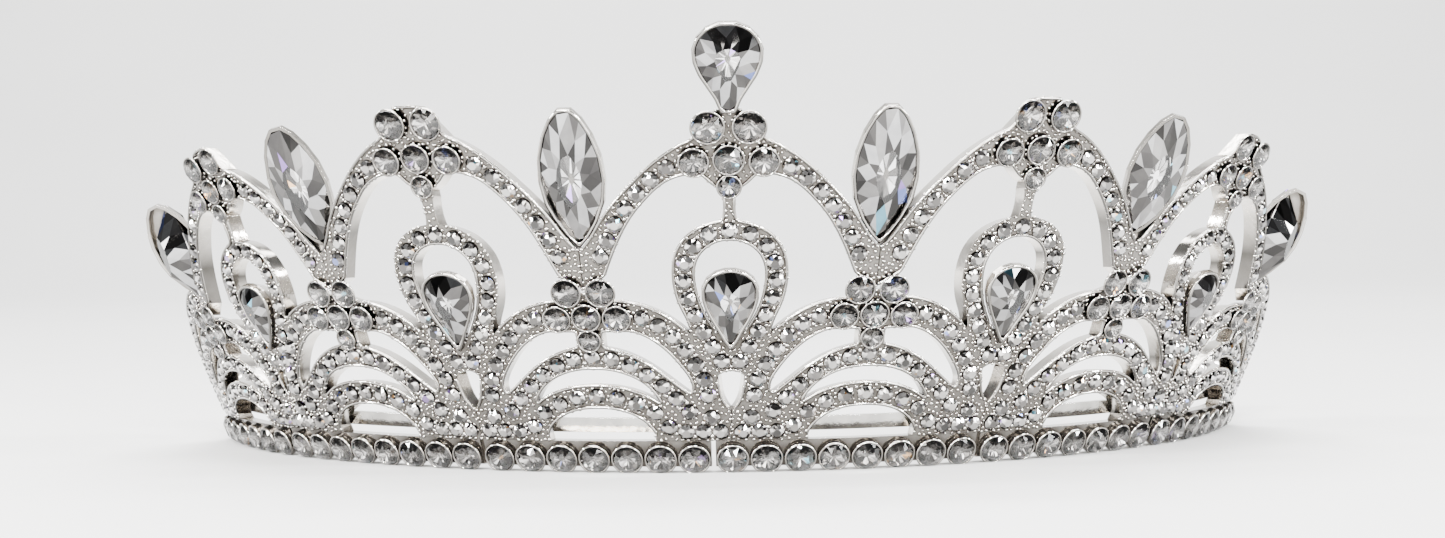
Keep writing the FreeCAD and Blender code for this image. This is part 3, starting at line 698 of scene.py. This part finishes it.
def front_loops(node):
    """Closed outlines of the front of a casting: runs of (point, front normal)."""
    bm = bmesh.new()
    bm.from_mesh(NODES[node].data)
    bmesh.ops.remove_doubles(bm, verts=bm.verts, dist=WELD)
    bmesh.ops.recalc_face_normals(bm, faces=bm.faces)
    front = set()
    for face in bm.faces:
        if is_front(face):
            front.add(face.index)
    runs = {}
    for face in bm.faces:
        if face.index not in front:
            continue
        for loop in face.loops:
            edge = loop.edge
            if any(f.index not in front for f in edge.link_faces):
                runs[loop.vert.index] = (loop.link_loop_next.vert.index, face.normal.copy())
    places = {v.index: v.co.copy() for v in bm.verts}
    bm.free()
    found = []
    used = set()
    for start in list(runs):
        if start in used:
            continue
        chain = []
        here = start
        while here in runs and here not in used:
            used.add(here)
            following, normal = runs[here]
            chain.append((places[here], normal))
            here = following
        if here == start and len(chain) > 5:
            found.append(chain)
    return found


def resampled(chain, step):
    """Even points round a closed run, lightly smoothed."""
    points = [p for p, _ in chain]
    normals = [n for _, n in chain]
    points.append(points[0])
    normals.append(normals[0])
    lengths = [0.0]
    for p, q in zip(points, points[1:]):
        lengths.append(lengths[-1] + (q - p).length)
    total = lengths[-1]
    count = max(12, int(total / step))
    found = []
    k = 0
    for i in range(count):
        want = total * i / count
        while k < len(lengths) - 2 and lengths[k + 1] < want:
            k += 1
        f = (want - lengths[k]) / max(1e-12, lengths[k + 1] - lengths[k])
        found.append((points[k].lerp(points[k + 1], f), normals[k].lerp(normals[k + 1], f).normalized()))
    smooth = []
    for i in range(count):
        before, here, after = found[i - 1], found[i], found[(i + 1) % count]
        smooth.append((before[0] * 0.25 + here[0] * 0.5 + after[0] * 0.25,
                       (before[1] + here[1] * 2 + after[1]).normalized()))
    return smooth, total


def neighbours_of(node):
    """Search tree over every other metal node."""
    verts = []
    faces = []
    for other, item in NODES.items():
        if other == node or "stone" in other or other == "inner_band":
            continue
        base = len(verts)
        verts += [v.co.copy() for v in item.data.vertices]
        faces += [[base + i for i in polygon.vertices] for polygon in item.data.polygons]
    return BVHTree.FromPolygons(verts, faces)


def add_rail(verts, faces, run, closed, radius, inset, lift):
    """Round wire along a run of (point, normal) on the edge of a casting's front."""
    section = 6
    count = len(run)
    base = len(verts)
    for i, (point, normal) in enumerate(run):
        before = run[i - 1][0] if closed or i else point
        after = run[(i + 1) % count][0] if closed or i < count - 1 else point
        along = (after - before).normalized()
        inward = normal.cross(along).normalized()
        size = radius
        if not closed:
            size *= min(1.0, (min(i, count - 1 - i) + 0.6) / 3.0)
        centre = point + inward * inset + normal * lift
        for k in range(section):
            phi = 2 * math.pi * (k + 0.5) / section
            verts.append(centre + inward * size * math.cos(phi) + normal * size * math.sin(phi))
    for i in range(count if closed else count - 1):
        n = (i + 1) % count
        for k in range(section):
            m = (k + 1) % section
            faces.append([base + i * section + k, base + n * section + k, base + n * section + m,
                          base + i * section + m])
    if not closed:
        faces.append([base + k for k in range(section)][::-1])
        faces.append([base + (count - 1) * section + k for k in range(section)])


RAIL_STEP = 0.35 * MM
RAIL_RADIUS = 0.20 * MM
RAIL_POINTS = 5


def rails(name, node, shortest, inset, lift, apart):
    """Polished rails round one casting's front, left out where another casting is closer than apart."""
    verts = []
    faces = []
    tree = neighbours_of(node)
    for chain in front_loops(node):
        run, total = resampled(chain, RAIL_STEP)
        if total < shortest:
            continue
        free = [tree.find_nearest(point, apart)[0] is None for point, _ in run]
        if all(free):
            add_rail(verts, faces, run, True, RAIL_RADIUS, inset, lift)
            continue
        if not any(free):
            continue
        first = free.index(False)
        stretch = []
        for i in range(len(run) + 1):
            spot = (first + i) % len(run)
            if free[spot] and i < len(run):
                stretch.append(run[spot])
            else:
                if len(stretch) >= RAIL_POINTS:
                    add_rail(verts, faces, stretch, False, RAIL_RADIUS, inset, lift)
                stretch = []
    mesh = bpy.data.meshes.new(name)
    mesh.from_pydata([tuple(v) for v in verts], [], faces)
    return metal_piece(name, mesh)


for node, reach in (("hill_pave_stones", 1.28), ("loop_pave_stones", 1.28), ("crest_pave_stones", 1.35),
                    ("scroll_pave_stones", 1.4)):
    beads_between(node.replace("stones", "beads"), node, reach)
lips("hill_clover_lips", "hill_clover_stones", 0.13 * MM)
lips("crest_clover_lips", "crest_clover_stones", 0.13 * MM)
lips("base_lips", "base_stones", 0.14 * MM)
ALL_STONES = [place for node in ROUND_NODES for place in PLACES[node]]
ORNAMENTS = ("crest_", "hill_panel", "loop_", "end_scroll")
RAILED = sorted(n for n in NODES if n.startswith(ORNAMENTS) and "stone" not in n)
NEAR = 4 * MM
for node in RAILED:
    rails(node + "_rail", node, 16 * MM, 0.13 * MM, 0.03 * MM, 0.16 * MM)
    low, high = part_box(node)
    near = [p for p in ALL_STONES if all(low[i] - NEAR < p[0][i] < high[i] + NEAR for i in range(3))]
    grain_field(node + "_grains", node, near)
for node in sorted(n for n in NODES if "bezel" in n):
    rails(node + "_lip", node, 12 * MM, 0.17 * MM, 0.0, 0.0)

# ---------------------------------------------------------------- CAD castings keep their shape

for node, item in NODES.items():
    if "stone" in node:
        continue
    material = WIRE_SILVER if node == "inner_band" or node.startswith("eyelet") else SILVER
    for index in range(len(item.material_slots)):
        item.material_slots[index].material = material


# ---------------------------------------------------------------- stage, light and camera

def sweep_backdrop():
    material, tree, bsdf = new_material("paper_sweep")
    bsdf.inputs["Roughness"].default_value = 0.9
    cloud = object_noise(tree, 6.0, 2.0)
    paper = [(0.3, (0.80, 0.80, 0.795, 1)), (0.7, (0.83, 0.83, 0.825, 1))]
    tint = ramp_between(tree, cloud.outputs["Fac"], paper)
    tree.links.new(tint.outputs["Color"], bsdf.inputs["Base Color"])
    front, back, bend, top, half_width = -0.6, 0.8, 0.6, 3.0, 4.0
    sag = 0.02 * MM
    steps = 12
    line = [(front, 0.0), (back, 0.0)]
    for i in range(1, steps + 1):
        angle = math.pi / 2 * i / steps
        line.append((back + bend * math.sin(angle), bend - bend * math.cos(angle)))
    line.append((back + bend, top))
    verts = []
    for y, z in line:
        verts += [(-half_width, y, z - sag), (half_width, y, z - sag)]
    faces = [(2 * i, 2 * i + 1, 2 * i + 3, 2 * i + 2) for i in range(len(line) - 1)]
    mesh = bpy.data.meshes.new("paper_sweep")
    mesh.from_pydata(verts, [], faces)
    for polygon in mesh.polygons:
        polygon.use_smooth = True
    mesh.materials.append(material)
    item = bpy.data.objects.new("paper_sweep", mesh)
    bpy.context.scene.collection.objects.link(item)


def area_light(name, location, target, width, height, power, color=(1.0, 1.0, 1.0)):
    data = bpy.data.lights.new(name, "AREA")
    data.shape = "RECTANGLE"
    data.size = width
    data.size_y = height
    data.energy = power
    data.color = color
    item = bpy.data.objects.new(name, data)
    item.location = location
    item.rotation_euler = (Vector(target) - Vector(location)).to_track_quat("-Z", "Y").to_euler()
    bpy.context.scene.collection.objects.link(item)
    return item


sweep_backdrop()
TARGET = (0.0, -0.01, 0.02)
area_light("key_softbox", (-0.35, -0.50, 0.60), TARGET, 0.30, 0.22, 7.5, (1.0, 0.97, 0.93))
area_light("fill_softbox", (0.55, -0.40, 0.30), TARGET, 0.12, 0.40, 3.0)
area_light("top_softbox", (0.0, 0.10, 0.70), TARGET, 0.5, 0.35, 7.5)
area_light("low_strip", (0.0, -0.60, 0.16), TARGET, 0.50, 0.02, 0.7, (1.0, 0.98, 0.95))
area_light("backdrop_wash", (0.0, 0.5, 1.3), (0.0, 1.3, 0.2), 1.6, 0.6, 55.0)
SPARKLES = 7
SPARKLE_REACH = 0.42
SPARKLE_HEIGHTS = (0.12, 0.30)
SPARKLE_SIZE = 0.045
SPARKLE_POWER = 1.6
for number in range(SPARKLES):
    angle = math.radians(-75 + 25 * number)
    spot = (SPARKLE_REACH * math.sin(angle), -SPARKLE_REACH * math.cos(angle), SPARKLE_HEIGHTS[number % 2])
    area_light("sparkle_%d" % (number + 1), spot, TARGET, SPARKLE_SIZE, SPARKLE_SIZE, SPARKLE_POWER)

world = bpy.data.worlds.new("studio")
bpy.context.scene.world = world
world.use_nodes = True
world.node_tree.nodes["Background"].inputs["Color"].default_value = (0.93, 0.94, 0.96, 1)
world.node_tree.nodes["Background"].inputs["Strength"].default_value = 0.22

# Lens and sensor in millimetres, shift as a share of the picture's width, angles in radians.
SENSOR = 36.0
LENS = 46.55635
SHIFT_X, SHIFT_Y = -0.003744, 0.015038
PITCH, YAW, ROLL = 0.0287, 0.0045, 0.0140
DISTANCE = 0.29306
AIM = Vector((0.00007, 0.043435, 0.02015))


def make_camera():
    turn = Matrix.Rotation(-YAW, 3, "Z")
    forward = turn @ Vector((0, math.cos(PITCH), -math.sin(PITCH)))
    up = turn @ Vector((0, math.sin(PITCH), math.cos(PITCH)))
    right = forward.cross(up)
    right_r = right * math.cos(ROLL) - up * math.sin(ROLL)
    up_r = right * math.sin(ROLL) + up * math.cos(ROLL)
    data = bpy.data.cameras.new("camera")
    data.sensor_width = SENSOR
    data.lens = LENS
    data.shift_x = SHIFT_X
    data.shift_y = SHIFT_Y
    data.clip_start = 0.01
    camera = bpy.data.objects.new("camera", data)
    camera.matrix_world = matrix_of(AIM - forward * DISTANCE, right_r, up_r, -forward)
    bpy.context.scene.collection.objects.link(camera)
    bpy.context.scene.camera = camera


make_camera()
